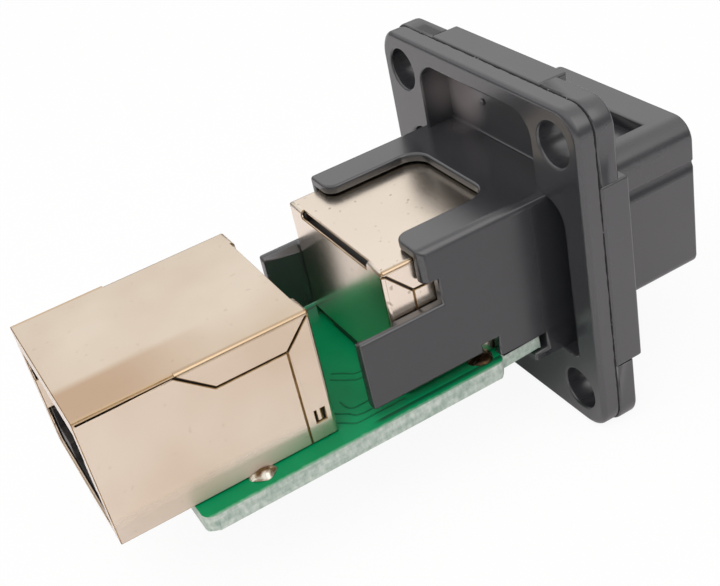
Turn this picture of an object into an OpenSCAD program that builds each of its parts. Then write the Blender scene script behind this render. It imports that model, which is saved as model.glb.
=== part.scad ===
// Sealed panel socket: a moulded flange with a plug shell in front and a cage behind,
// holding a small circuit board with two network jacks back to back.
// X is across, -Y is the plug side, +Y runs into the cabinet and +Z is up.
// The origin is the middle of the screw pattern on the face that meets the panel.

/* [Flange] */
// Width of the flange
flange_w = 28.5; // [25:0.1:36]
// Height of the flange
flange_h = 30.9; // [27:0.1:40]
// Thickness of the flange at its corner bosses
flange_t = 3.5; // [3.3:0.1:4.5]
// Radius of the flange's corners
flange_corner_r = 2.3; // [0.8:0.1:2.8]
// Bevel round the flange's rear face
rear_bevel = 0.3; // [0.1:0.05:0.6]
// Depth of the mould's parting line behind the rear face
parting_depth = 1.65; // [1:0.05:2.4]
// Step between the two mould halves at the parting line
parting_step = 0.12; // [0.02:0.01:0.3]
// From the flange's side to the screw holes' axes
hole_side = 3.25; // [2.5:0.05:3.5]
// From the flange's top or bottom to the screw holes' axes
hole_end = 3.45; // [2.7:0.05:3.7]
// Diameter of the screw holes
hole_d = 3.8; // [2.6:0.1:4]
// Half width of the square seat for a screw head
head_seat = 3.25; // [2.5:0.05:4]
// Height of the front plateau above the screw head seats
plateau_t = 0.9; // [0.3:0.1:1.5]
// How far the plateau's sides stand proud of the flange's sides
plateau_proud = 0.05; // [0.02:0.01:0.1]

/* [Rear pocket] */
// Depth of the pocket in the flange's rear face
pocket_depth = 2.75; // [1:0.05:2.9]
// From a screw hole's axis sideways to the pocket
boss_w = 3; // [2.4:0.1:3.5]
// From an upper screw hole's axis down to the wide part of the pocket
boss_h = 5.3; // [2.4:0.1:6]
// From a lower screw hole's axis up to the pocket
boss_low = 3.5; // [2.4:0.1:5]
// Rim above the pocket
rim_h = 1.95; // [0.8:0.05:2.5]
// Rim beside the pocket
rim_w = 2.95; // [0.8:0.05:3.2]
// Radius of the pocket's upper corners
pocket_r = 2.2; // [0.5:0.1:2.8]
// Radius of the pocket's lower corners
pocket_low_r = 0.6; // [0.3:0.1:1.5]
// Radius where the cage's roof rises from the pocket
root_r = 0.3; // [0.2:0.1:1.2]
// Diameter of the moulding gate's mark in the pocket
gate_d = 0.6; // [0.3:0.05:1.2]
// Height of the gate's mark
gate_h = 0.15; // [0.05:0.05:0.4]
// From the middle sideways to the gate's mark
gate_side = 2.6; // [-5:0.1:5]
// From the pocket's upper edge down to the gate's mark
gate_down = 3.2; // [1:0.1:4]

/* [Plug shell] */
// Width of the shell
shell_w = 19; // [18:0.1:21]
// Height of the shell
shell_h = 14.35; // [14:0.05:17]
// Reach of the shell in front of the plateau
shell_reach = 10.8; // [9:0.1:16]
// Depth of the shell below the board's top face
shell_drop = 0.95; // [0.5:0.05:1.4]
// Radius of the shell's upper corners
shell_top_r = 2; // [0.5:0.1:2.5]
// Radius of the shell's lower corners
shell_low_r = 1; // [0.3:0.1:1.5]
// From the shell's top down to the crease along its sides
crease_down = 3.8; // [3:0.1:6]
// Depth of the crease under its sharp upper edge
crease_depth = 0.2; // [0.1:0.05:0.6]
// Height over which the crease runs out below
crease_h = 0.6; // [0.3:0.05:1.5]
// Width of the shell's mouth
mouth_w = 15.2; // [13:0.1:15.6]
// Height of the shell's mouth
mouth_h = 10.5; // [9.5:0.1:10.8]
// Height of the mouth's floor above the board's top face
mouth_rise = 0.65; // [0.4:0.05:0.8]
// Radius of the mouth's corners
mouth_r = 1; // [0.3:0.1:2]
// Bevel round the mouth
mouth_bevel = 0.4; // [0.1:0.05:0.8]
// Width of the latch recess in the shell's top
latch_w = 13.7; // [8:0.1:14.5]
// Length of the latch recess
latch_l = 7.7; // [4:0.1:8.5]
// Depth of the latch recess
latch_depth = 1.2; // [0.5:0.05:1.4]

/* [Rear cage] */
// Thickness of the cage's side walls
cage_wall = 1.1; // [0.8:0.05:1.6]
// Thickness of the cage's roof
roof_t = 0.9; // [0.7:0.05:2]
// Clearance between the cage and the jack in it
cage_fit = 0.1; // [0.05:0.01:0.25]
// Radius of the cage's upper edges
cage_edge_r = 0.8; // [0.3:0.1:1.2]
// How far the roof stops short of the jack's back
roof_short = 2.85; // [2:0.05:4]
// Width of the roof's open slot
slot_w = 10.8; // [8:0.1:12]
// Length of the roof's open slot
slot_l = 9.1; // [5:0.1:10.5]
// Radius of the slot's inner corners
slot_r = 1.8; // [0.5:0.1:3]
// Rounding of the roof prongs' inner ends
prong_r = 1.2; // [0.3:0.1:1.6]
// How far the lower walls run past the jack's back
wall_past = 3.55; // [2:0.05:5]
// Gap between the lower walls and the board
wall_gap = 1.1; // [0.9:0.05:1.6]
// Height of the lower walls' top above the board
ledge_h = 7.65; // [6:0.05:8.5]
// Height of the upper walls' lower edge above the board
brow_h = 10; // [9:0.1:11]
// Length of the step between upper and lower walls
brow_l = 1.4; // [0.8:0.1:2.5]
// Width of the lead-in on the lower walls' inner edges
lead_w = 0.55; // [0.2:0.05:0.7]
// Height of the lead-in at the jack's back
lead_h = 0.85; // [0.4:0.05:2]
// Height of the lead-in past the walls' ends
lead_end = 0.15; // [0.05:0.05:0.8]
// Height of the relief over each shield tab of the front jack
relief_h = 1.9; // [1.5:0.1:3]
// Length of that relief
relief_l = 1.6; // [1:0.1:2]
// Depth of the sill below the board's top face
sill_t = 2.55; // [2:0.05:3]
// Gap between the sill and the board's front end
sill_gap = 0.45; // [0.1:0.05:1]
// Length of the shelf under the board's front end
shelf_l = 1; // [0.4:0.1:1]
// Gap between the shelf and the board
shelf_gap = 0.1; // [0.05:0.05:0.2]

/* [Circuit board] */
// Width of the board
board_w = 20; // [19.8:0.1:24]
// Thickness of the board
board_t = 1.6; // [0.8:0.1:1.8]
// Depth of the board's top face below the screw pattern's middle
board_drop = 6; // [5.5:0.05:6.3]
// Radius of the board's rear corners
board_r = 1; // [0.3:0.1:2]
// Radius of the shoulders beside the tongue
shoulder_r = 0.9; // [0.2:0.1:1]
// Radius of the tongue's corners
tongue_r = 0.5; // [0.2:0.1:1]
// Width of the board's front tongue
tongue_w = 18; // [17.2:0.1:19.6]
// Length of the front tongue
tongue_l = 4.3; // [3:0.1:4.9]
// How far each jack's mouth stands past the board's end
overhang = 6.15; // [5.6:0.05:6.8]
// Gap between the backs of the two jacks
jack_gap = 6.4; // [5.6:0.1:12]
// Diameter of the holes for the contact tails
tail_hole_d = 0.9; // [0.7:0.05:1]

/* [Jack shield] */
// Width of a jack
jack_w = 16; // [15.4:0.1:16.6]
// Height of a jack above the board
jack_h = 12.1; // [11.8:0.05:13]
// Length of a jack
jack_l = 19.2; // [18.8:0.1:21]
// How far the front jack's mouth lies behind the plateau
mouth_setback = 0.15; // [0.1:0.05:0.6]
// Thickness of the shield's sheet
sheet_t = 0.25; // [0.2:0.01:0.35]
// Outer radius of the shield's bends
bend_r = 0.4; // [0.35:0.05:0.9]
// Width of the seams round the roof and its side flaps
seam_w = 0.14; // [0.1:0.01:0.3]
// Width of the seam beside a back flap
back_seam_w = 0.08; // [0.05:0.01:0.2]
// Gap under the shield's sides
foot_gap = 0.1; // [0.05:0.01:0.2]
// Height of the roof's side flaps
flap_h = 2.65; // [2:0.05:3.5]
// Length of the roof's side flaps from the back
flap_l = 11.2; // [8:0.1:13]
// Length of the sloped front end of a side flap
flap_slope = 2.7; // [1:0.1:4]
// Length of the back's side flaps
back_flap_l = 2.5; // [2:0.05:3]
// Width of the relief slot along the back bend
bend_slot_w = 11.2; // [8:0.1:12.5]
// Height of the relief slot along the back bend
bend_slot_h = 0.7; // [0.35:0.05:1]
// Length of that slot along the roof
bend_slot_l = 0.4; // [0.4:0.05:1]
// Gap under the shield's back
back_lift = 1.2; // [0.5:0.05:2]
// Length of the latch window in each back flap
window_l = 0.9; // [0.8:0.05:1.5]
// Height of the latch window
window_h = 1.2; // [1:0.05:2.5]
// Height of the latch window's middle above the board
window_z = 2.4; // [2:0.05:4]
// Length of the flush ridge of the tongue in the latch window
lance_flat = 0.4; // [0.2:0.05:0.6]
// How far that tongue dips into the window
lance_dip = 0.18; // [0.05:0.01:0.3]
// Distance of the board tabs behind the mouth
tab_y = 12; // [11.6:0.05:12.4]
// Width of a board tab
tab_w = 1.5; // [1:0.05:1.7]
// Clearance round a tab in the board
tab_fit = 0.2; // [0.1:0.05:0.3]
// Length of the shield's floor behind the mouth
floor_l = 5.5; // [3:0.1:7]
// Border of the shield round the port's frame
border = 1.35; // [0.9:0.05:1.6]

/* [Plug port] */
// Width of the port
port_w = 11.9; // [11.7:0.05:12.2]
// Height of the port
port_h = 6.9; // [6.7:0.05:7.1]
// Height of the port's floor above the board
port_rise = 2.6; // [2.4:0.05:2.8]
// Depth of the port
port_depth = 12.5; // [12:0.1:13]
// Width of the latch slot under the port
key_w = 6.3; // [5.5:0.1:7]
// Depth of the latch slot under the port's floor
key_h = 1.7; // [1.2:0.05:1.9]
// Diameter of the pegs that locate a jack on the board
peg_d = 3; // [2.5:0.1:3.2]
// Width between the pegs
peg_pitch = 11.43; // [10.5:0.01:12]
// Distance of the pegs behind the mouth
peg_y = 8.9; // [8.7:0.05:9.5]
// Clearance between mating pieces inside a jack
jack_fit = 0.05; // [0.03:0.01:0.1]
// Clearance round the pegs
peg_fit = 0.1; // [0.05:0.01:0.2]
// Height of the side springs in the port
spring_h = 3; // [1.5:0.1:3.5]
// Length of the side springs
spring_l = 4.2; // [3:0.1:6]
// How far the side springs bow into the port
spring_bow = 0.1; // [0.05:0.05:0.3]
// How far the side springs start outside the port
spring_set = 0.35; // [0.2:0.05:0.4]

/* [Contacts] */
// Spacing of the contacts
contact_pitch = 1.02; // [0.98:0.01:1.08]
// Width of a contact
contact_w = 0.45; // [0.3:0.01:0.5]
// Thickness of a contact
contact_t = 0.3; // [0.2:0.01:0.35]
// Bend radius at a contact's nose
nose_r = 0.5; // [0.4:0.05:0.6]
// Distance of a contact's nose behind the mouth
nose_y = 2.2; // [1.8:0.05:3]
// Height of a contact's level run above the port's ceiling
run_rise = 0.75; // [0.65:0.05:0.8]
// Slope of a contact's spring arm in degrees
arm_slope = 16; // [12:0.5:20]
// Length of a contact's spring arm
arm_l = 8; // [6:0.1:8.5]
// Distance of the rear row of tails from a jack's back
tail_back = 1.4; // [1:0.05:1.6]
// Spacing of the two rows of tails
tail_rows = 2.54; // [2.3:0.01:2.6]
// Width of the contact carrier beside the contacts
carrier_side = 1.2; // [0.8:0.05:1.6]
// Step along the carrier's upper rear edge
carrier_step = 1; // [0.5:0.05:1.05]
// How far tails, tabs and pegs stand out under the board
stand_out = 0.9; // [0.6:0.05:1.5]

/* [Solder] */
// Radius of a shield tab's solder pad
tab_solder_r = 1.25; // [1.1:0.05:1.7]
// Height of a shield tab's solder
tab_solder_h = 0.45; // [0.3:0.05:0.8]
// Radius of a contact tail's solder at the board
tail_solder_r = 0.75; // [0.6:0.05:0.8]
// Height of a contact tail's solder
tail_solder_h = 0.6; // [0.3:0.05:0.6]

/* [Hidden] */
$fn = 48;
contact_count = 8;
overcut = 1;
// Thin slice that one end of a lead-in is drawn with
lead_slice = 0.01;
// Where along a side spring its crest lies
spring_crest = 0.6;
// Tip of a solder cone compared with its foot
solder_taper = 0.45;

// Screw pattern
hole_pitch_x = flange_w - 2 * hole_side;
hole_pitch_z = flange_h - 2 * hole_end;

// Heights
board_z = -board_drop;
cage_top_z = board_z + jack_h + cage_fit + roof_t;
shell_low_z = board_z - shell_drop;
shell_top_z = shell_low_z + shell_h;
mouth_low_z = board_z + mouth_rise;
ledge_z = board_z + ledge_h;
wall_low_z = board_z + wall_gap;
sill_z = board_z - sill_t;
pocket_z = hole_pitch_z / 2 - boss_h;
pocket_top_z = flange_h / 2 - rim_h;
pocket_low_z = boss_low - hole_pitch_z / 2;

// Places along the socket
seat_y = -flange_t;
plateau_y = seat_y - plateau_t;
shell_y = plateau_y - shell_reach;
pocket_y = -pocket_depth;
plate_mid_y = (pocket_y + seat_y) / 2;
front_jack_y = plateau_y + mouth_setback;
front_back_y = front_jack_y + jack_l;
rear_back_y = front_back_y + jack_gap;
rear_jack_y = rear_back_y + jack_l;
board_front_y = front_jack_y + overhang;
board_rear_y = rear_jack_y - overhang;
tongue_y = board_front_y + tongue_l;
roof_y = front_back_y - roof_short;
wall_y = front_back_y + wall_past;
brow_y = roof_y - brow_l;
relief_y = front_jack_y + tab_y;

// Widths
jack_x = jack_w / 2;
cage_in_x = jack_x + cage_fit;
cage_x = cage_in_x + cage_wall;
pocket_x = hole_pitch_x / 2 - boss_w;
pocket_out_x = flange_w / 2 - rim_w;
frame_x = jack_x - border;

// Inside a jack, measured from its mouth and from the board
port_top = port_rise + port_h;
run_z = port_top + run_rise;
comb_z = run_z + contact_t / 2 + jack_fit;
comb_y = nose_y - contact_t - jack_fit;
carrier_x = contact_count * contact_pitch / 2 + carrier_side;
spring_z = port_rise + port_h / 2;
spring_x = port_w / 2;
rear_row_y = jack_l - tail_back;
flap_start = jack_l - flap_l;
window_y = jack_l - back_flap_l / 2;
front_row_y = rear_row_y - tail_rows;
tail_low = -board_t - stand_out;
tab_mid_x = jack_x - sheet_t / 2;

JACKS = ["front", "rear"];
JACK_PIECES = ["jack_shield", "jack_body", "contact_carrier", "shield_solder", "pin_solder"];

black = "#3a3939";
nickel = "#d6c6b3";
mask_green = "#008a55";
insulator = "#26282a";
gold = "#d8b45a";
tin = "#cfcfca";

// Rectangle between two corners
module bar(x0, x1, y0, y1) {
    translate([x0, y0]) square([x1 - x0, y1 - y0]);
}

// Rectangle with one radius on its low corners and another on its high corners
module rounded_bar(x0, x1, y0, y1, r_low, r_high) {
    bar(x0, x1, y0 + r_low, y1 - r_high);
    bar(x0 + r_low, x1 - r_low, y0, y1 - r_high);
    bar(x0 + r_high, x1 - r_high, y0 + r_low, y1);
    if (r_low > 0)
        for (x = [x0 + r_low, x1 - r_low]) translate([x, y0 + r_low]) circle(r_low);
    if (r_high > 0)
        for (x = [x0 + r_high, x1 - r_high]) translate([x, y1 - r_high]) circle(r_high);
}

// Rectangle about the origin with equal corners
module panel(w, h, r) {
    rounded_bar(-w / 2, w / 2, -h / 2, h / 2, r, r);
}

// What a rounded corner of a plan takes away, in the quadrant that dx and dy point out of
module corner_waste(r, dx, dy) {
    mirror([dx > 0 ? 0 : 1, 0]) mirror([0, dy > 0 ? 0 : 1]) difference() {
        bar(-r, overcut, -r, overcut);
        translate([-r, -r]) circle(r);
        bar(-r - overcut, -r, -r, overcut);
        bar(-r, overcut, -r - overcut, -r);
    }
}

// Profile in X and Z, drawn out along Y
module along_y(y0, y1) {
    translate([0, y1, 0]) rotate([90, 0, 0]) linear_extrude(height = y1 - y0) children();
}

// Profile in Y and Z, drawn out along X
module along_x(x0, x1) {
    translate([x0, 0, 0]) rotate([90, 0, 90]) linear_extrude(height = x1 - x0) children();
}

// Profile in X and Y, drawn out along Z
module along_z(z0, z1) {
    translate([0, 0, z0]) linear_extrude(height = z1 - z0) children();
}

// The same thing on the left and on the right
module both_sides() {
    children();
    mirror([1, 0, 0]) children();
}

// Places of the four screw holes
module at_holes() {
    for (x = [-1, 1], z = [-1, 1])
        translate([x * hole_pitch_x / 2, 0, z * hole_pitch_z / 2]) rotate([90, 0, 0]) children();
}

// Place of either jack, which is drawn with its mouth at y = 0 and its foot at z = 0
module at_jack(jack) {
    if (jack == "front") translate([0, front_jack_y, board_z]) children();
    else translate([0, rear_jack_y, board_z]) rotate([0, 0, 180]) children();
}

// Flange with its rear bevel, its parting step, its front plateau and its rear pocket
module flange() {
    inner_w = flange_w - 2 * parting_step;
    inner_h = flange_h - 2 * parting_step;
    proud_w = flange_w + 2 * plateau_proud;
    proud_h = flange_h + 2 * plateau_proud;
    difference() {
        union() {
            hull() {
                along_y(plate_mid_y, -rear_bevel) panel(inner_w, inner_h, flange_corner_r);
                along_y(plate_mid_y, 0)
                    panel(inner_w - 2 * rear_bevel, inner_h - 2 * rear_bevel, flange_corner_r);
            }
            along_y(seat_y, -parting_depth) panel(flange_w, flange_h, flange_corner_r);
            along_y(plateau_y, -parting_depth) {
                panel(hole_pitch_x - 2 * head_seat, proud_h, 0);
                panel(proud_w, hole_pitch_z - 2 * head_seat, 0);
            }
        }
        along_y(pocket_y, overcut) {
            rounded_bar(-pocket_x, pocket_x, pocket_low_z, pocket_top_z, pocket_low_r, pocket_r);
            rounded_bar(-pocket_out_x, pocket_out_x, pocket_low_z, pocket_z, pocket_low_r, pocket_r);
        }
    }
    translate([gate_side, pocket_y, pocket_top_z - gate_down]) rotate([90, 0, 0])
        cylinder(h = 2 * gate_h, d = gate_d, center = true);
}

// Outside of the plug shell, with the creases along its sides and the latch recess in its top
module plug_shell() {
    crease_z = shell_top_z - crease_down;
    difference() {
        along_y(shell_y, seat_y) difference() {
            rounded_bar(-shell_w / 2, shell_w / 2, shell_low_z, shell_top_z, shell_low_r, shell_top_r);
            for (side = [-1, 1]) polygon([
                [side * shell_w / 2, crease_z - crease_h],
                [side * (shell_w / 2 - crease_depth), crease_z],
                [side * (shell_w / 2 + overcut), crease_z],
                [side * (shell_w / 2 + overcut), crease_z - crease_h]
            ]);
        }
        along_y(plateau_y - latch_l, plateau_y)
            bar(-latch_w / 2, latch_w / 2, shell_top_z - latch_depth, shell_top_z + overcut);
    }
}

// Bevelled mouth of the plug shell
module mouth() {
    mouth_high_z = mouth_low_z + mouth_h;
    along_y(shell_y - overcut, front_jack_y)
        rounded_bar(-mouth_w / 2, mouth_w / 2, mouth_low_z, mouth_high_z, mouth_r, mouth_r);
    hull() for (grow = [0, mouth_bevel + overcut])
        along_y(shell_y - 2 * overcut, shell_y + mouth_bevel - grow) rounded_bar(
            -mouth_w / 2 - grow, mouth_w / 2 + grow,
            mouth_low_z - grow, mouth_high_z + grow, mouth_r, mouth_r);
}

// What the lead-in takes from a lower wall at one place
module lead_in(height) {
    polygon([
        [cage_in_x, ledge_z - height],
        [cage_in_x + lead_w, ledge_z],
        [cage_in_x + lead_w, ledge_z + overcut],
        [0, ledge_z + overcut],
        [0, ledge_z - height]
    ]);
}

// Outside of the cage: roof with two prongs, stepped side walls, feet on the board, sill and shelf
module cage() {
    intersection() {
        union() {
            along_y(plate_mid_y, brow_y)
                rounded_bar(-cage_x, cage_x, wall_low_z, cage_top_z, 0, cage_edge_r);
            along_y(plate_mid_y, roof_y)
                rounded_bar(-cage_x, cage_x, board_z + brow_h, cage_top_z, 0, cage_edge_r);
        }
        along_z(wall_low_z - overcut, cage_top_z + overcut) difference() {
            rounded_bar(-cage_x, cage_x, plate_mid_y, roof_y, 0, cage_edge_r);
            rounded_bar(-slot_w / 2, slot_w / 2, roof_y - slot_l, roof_y + slot_r + overcut, slot_r, 0);
            for (side = [-1, 1]) translate([side * slot_w / 2, roof_y]) corner_waste(prong_r, -side, 1);
        }
    }
    difference() {
        along_y(plate_mid_y, wall_y) bar(-cage_x, cage_x, wall_low_z, ledge_z);
        both_sides() hull() {
            along_y(front_back_y, front_back_y + lead_slice) lead_in(lead_h);
            along_y(wall_y, wall_y + overcut) lead_in(lead_end);
        }
    }
    along_y(plate_mid_y, tongue_y) bar(-cage_x, cage_x, board_z, ledge_z);
    along_y(plate_mid_y, board_front_y - sill_gap) bar(-cage_x, cage_x, sill_z, ledge_z);
    along_y(plate_mid_y, board_front_y + shelf_l)
        bar(-cage_x, cage_x, sill_z, board_z - board_t - shelf_gap);
    along_x(-cage_x + cage_edge_r, cage_x - cage_edge_r) translate([pocket_y, cage_top_z]) difference() {
        bar(plate_mid_y - pocket_y, root_r, -roof_t / 2, root_r);
        translate([root_r, root_r]) circle(root_r);
    }
}

module housing() color(black) difference() {
    union() {
        flange();
        plug_shell();
        cage();
    }
    at_holes() cylinder(h = 2 * (flange_t + overcut), d = hole_d, center = true);
    mouth();
    along_y(front_jack_y - jack_fit, wall_y + overcut)
        bar(-cage_in_x, cage_in_x, board_z - cage_fit, board_z + jack_h + cage_fit);
    along_y(relief_y - relief_l, relief_y)
        bar(-cage_x - overcut, cage_x + overcut, wall_low_z - overcut, board_z + relief_h);
}

// Slot in the board for one shield tab
module tab_slot() {
    slot_half = sheet_t / 2 + tab_fit;
    translate([tab_mid_x, tab_y]) panel(2 * slot_half, tab_w, 0);
    for (end = [-1, 1]) translate([tab_mid_x, tab_y + end * tab_w / 2]) circle(slot_half);
}

module circuit_board() color(mask_green) difference() {
    along_z(board_z - board_t, board_z) {
        rounded_bar(-board_w / 2, board_w / 2, tongue_y, board_rear_y, shoulder_r, board_r);
        rounded_bar(-tongue_w / 2, tongue_w / 2, board_front_y, tongue_y + shoulder_r, tongue_r, 0);
    }
    for (jack = JACKS) at_jack(jack) {
        for (i = [1:contact_count]) translate([contact_x(i), tail_y(i), -board_t - overcut])
            cylinder(h = board_t + 2 * overcut, d = tail_hole_d);
        both_sides() {
            translate([peg_pitch / 2, peg_y, -board_t - overcut])
                cylinder(h = board_t + 2 * overcut, d = peg_d + 2 * peg_fit);
            along_z(-board_t - overcut, overcut) tab_slot();
        }
    }
}

// Closed form of the shield, at its outer face or one sheet further in
module shield_form(inset) {
    r = bend_r - inset;
    x = jack_x - inset;
    y = jack_l - inset;
    z = jack_h - inset;
    intersection() {
        along_y(inset, y) rounded_bar(-x, x, -overcut, z, 0, r);
        along_z(-overcut, z) rounded_bar(-x, x, inset - r, y, 0, r);
        along_x(-x, x) difference() {
            bar(inset, y, -overcut, z);
            translate([y, z]) corner_waste(r, 1, 1);
        }
    }
}

// Seams that part the roof, its side flap and the back flap from the shield's side
module flap_seams() {
    flap_z = jack_h - flap_h;
    eave_z = jack_h - sheet_t;
    bend_z = jack_h - bend_r;
    fold_y = jack_l - back_flap_l;
    bar(sheet_t, flap_start + seam_w, eave_z - seam_w, eave_z);
    polygon([
        [flap_start, eave_z],
        [flap_start + flap_slope, flap_z],
        [fold_y, flap_z],
        [jack_l - bend_r, bend_z],
        [jack_l + overcut, bend_z],
        [jack_l + overcut, bend_z - seam_w],
        [jack_l - bend_r + seam_w / 2, bend_z - seam_w],
        [fold_y + seam_w / 2, flap_z - seam_w],
        [flap_start + flap_slope - seam_w / 2, flap_z - seam_w],
        [flap_start - seam_w, eave_z - seam_w]
    ]);
    bar(fold_y - back_seam_w / 2, fold_y + back_seam_w / 2, -overcut, flap_z);
}

// Latch window in a back flap
module latch_window() {
    translate([window_y, window_z]) panel(window_l, window_h, 0);
}

// Tongue in the latch window: it hangs from the window's top, flush first and then bent inwards
module lance() {
    start_y = window_y - window_l / 2 + seam_w;
    end_y = window_y + window_l / 2 - seam_w;
    along_z(window_z - window_h / 2 + seam_w, window_z + window_h / 2) polygon([
        [jack_x, start_y],
        [jack_x, start_y + lance_flat],
        [jack_x - lance_dip, end_y],
        [jack_x - lance_dip - sheet_t, end_y],
        [jack_x - sheet_t, start_y + lance_flat],
        [jack_x - sheet_t, start_y]
    ]);
}

// Bowed side spring that folds into the port from the shield's front
module side_spring() {
    root_x = spring_x + spring_set;
    tip_x = spring_x + spring_set / 2;
    crest_x = spring_x - spring_bow;
    crest_y = spring_crest * spring_l;
    along_z(spring_z - spring_h / 2, spring_z + spring_h / 2) {
        bar(root_x, frame_x + sheet_t, 0, sheet_t);
        polygon([
            [root_x, 0],
            [crest_x, crest_y],
            [tip_x, spring_l],
            [tip_x + sheet_t, spring_l],
            [crest_x + sheet_t, crest_y],
            [root_x + sheet_t, sheet_t],
            [root_x + sheet_t, 0]
        ]);
    }
}

module jack_shield() {
    difference() {
        union() {
            intersection() {
                shield_form(0);
                along_y(-overcut, jack_l + overcut) bar(-jack_x, jack_x, foot_gap, jack_h);
            }
            both_sides() along_y(0, flap_start) bar(jack_x - bend_r, jack_x, jack_h - bend_r, jack_h);
        }
        shield_form(sheet_t);
        along_y(-overcut, sheet_t + jack_fit)
            bar(-frame_x, frame_x, port_rise - key_h, port_top + run_rise);
        along_y(jack_l - bend_slot_l, jack_l + overcut)
            bar(-bend_slot_w / 2, bend_slot_w / 2, jack_h - bend_slot_h, jack_h + overcut);
        along_y(jack_l - sheet_t - jack_fit, jack_l + overcut)
            bar(-jack_x + bend_r, jack_x - bend_r, -overcut, back_lift);
        both_sides() along_x(jack_x - sheet_t - jack_fit, jack_x + overcut) {
            flap_seams();
            latch_window();
        }
    }
    along_z(0, sheet_t) bar(-jack_x + sheet_t, jack_x - sheet_t, sheet_t / 2, floor_l);
    both_sides() {
        along_x(jack_x - sheet_t, jack_x) bar(tab_y - tab_w / 2, tab_y + tab_w / 2, tail_low, sheet_t);
        side_spring();
        lance();
    }
}

// Closed form of the insulators, which fit inside the shield
module insulator_form(low_z) {
    intersection() {
        shield_form(sheet_t + jack_fit);
        along_z(low_z, jack_h) bar(-jack_x, jack_x, 0, jack_l);
    }
}

module jack_body() {
    difference() {
        union() {
            insulator_form(sheet_t);
            both_sides() translate([peg_pitch / 2, peg_y, tail_low])
                cylinder(h = port_rise - tail_low, d = peg_d);
        }
        along_y(-overcut, port_depth) {
            bar(-port_w / 2, port_w / 2, port_rise, port_top);
            bar(-key_w / 2, key_w / 2, port_rise - key_h, port_rise + overcut);
        }
        along_y(port_depth - overcut, jack_l)
            bar(-carrier_x - jack_fit, carrier_x + jack_fit, -overcut, jack_h);
        for (i = [1:contact_count]) along_y(comb_y, port_depth) translate([contact_x(i), 0])
            bar(-contact_w / 2 - jack_fit, contact_w / 2 + jack_fit, port_top - overcut, comb_z);
        both_sides() along_y(-overcut, spring_l + 2 * jack_fit) translate([0, spring_z])
            bar(0, frame_x + sheet_t + jack_fit, -spring_h / 2 - jack_fit, spring_h / 2 + jack_fit);
        both_sides() along_x(jack_x - lance_dip - sheet_t - jack_fit, jack_x) latch_window();
    }
}

// Insert behind the port, with a channel for each contact
module contact_carrier() {
    difference() {
        intersection() {
            insulator_form(0);
            along_y(port_depth, jack_l) bar(-carrier_x, carrier_x, 0, jack_h);
        }
        along_y(jack_l - carrier_step, jack_l) bar(-jack_x, jack_x, jack_h - carrier_step, jack_h);
        for (i = [1:contact_count]) {
            along_x(contact_x(i) - contact_w / 2 - jack_fit, contact_x(i) + contact_w / 2 + jack_fit) {
                bar(port_depth - overcut, tail_y(i) + contact_t / 2 + jack_fit,
                    run_z - contact_t / 2, comb_z);
                bar(tail_y(i) - contact_t / 2 - jack_fit, tail_y(i) + contact_t / 2 + jack_fit,
                    -overcut, comb_z);
            }
        }
    }
}

function contact_x(i) = (i - (contact_count + 1) / 2) * contact_pitch;
function tail_y(i) = i % 2 == 1 ? front_row_y : rear_row_y;

// One formed contact: tail, level run, rounded nose and sloping spring arm
module contact(i) {
    half = contact_t / 2;
    turn_y = nose_y + nose_r;
    turn_z = run_z - nose_r;
    along_x(contact_x(i) - contact_w / 2, contact_x(i) + contact_w / 2) {
        bar(tail_y(i) - half, tail_y(i) + half, tail_low, run_z + half);
        bar(turn_y, tail_y(i) + half, run_z - half, run_z + half);
        translate([turn_y, turn_z]) {
            difference() {
                circle(nose_r + half);
                circle(nose_r - half);
                bar(0, 2 * nose_r, -2 * nose_r, 2 * nose_r);
                rotate(-arm_slope) bar(0, 2 * nose_r, -2 * nose_r, 2 * nose_r);
            }
            rotate(-arm_slope) bar(0, arm_l, -nose_r - half, -nose_r + half);
        }
    }
}

// Solder of the two shield tabs: a low cap beside the shield, the filled slot and a collar underneath
module shield_solder() {
    cap_r = (pow(tab_solder_r, 2) + pow(tab_solder_h, 2)) / (2 * tab_solder_h);
    both_sides() difference() {
        union() {
            intersection() {
                translate([jack_x, tab_y, tab_solder_h - cap_r]) sphere(cap_r);
                along_z(0, tab_solder_h + overcut)
                    bar(jack_x, jack_x + tab_solder_r, tab_y - tab_solder_r, tab_y + tab_solder_r);
            }
            along_z(-board_t, 0) tab_slot();
            translate([tab_mid_x, tab_y, -board_t]) mirror([0, 0, 1])
                cylinder(h = tab_solder_h, r1 = tab_solder_r, r2 = tab_w / 2 + sheet_t);
        }
        along_x(jack_x - sheet_t, jack_x)
            bar(tab_y - tab_w / 2, tab_y + tab_w / 2, tail_low - overcut, overcut);
    }
}

// Solder of the contact tails: the filled holes and a cone under each
module pin_solder() {
    for (i = [1:contact_count]) difference() {
        translate([contact_x(i), tail_y(i), 0]) mirror([0, 0, 1]) {
            cylinder(h = board_t, d = tail_hole_d);
            translate([0, 0, board_t])
                cylinder(h = tail_solder_h, r1 = tail_solder_r, r2 = solder_taper * tail_solder_r);
        }
        along_x(contact_x(i) - contact_w / 2, contact_x(i) + contact_w / 2)
            bar(tail_y(i) - contact_t / 2, tail_y(i) + contact_t / 2, tail_low - overcut, overcut);
    }
}

housing();
circuit_board();
for (jack = JACKS) {
    color(nickel) at_jack(jack) jack_shield();
    color(insulator) at_jack(jack) jack_body();
    color(insulator) at_jack(jack) contact_carrier();
    color(tin) at_jack(jack) shield_solder();
    color(tin) at_jack(jack) pin_solder();
    for (i = [1:contact_count])
        color(gold) at_jack(jack) contact(i);
}
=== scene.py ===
# Studio picture of a sealed panel socket: black housing, green circuit board and two shielded jacks
import math

import bmesh
import bpy
from mathutils import Matrix, Vector, noise


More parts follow.
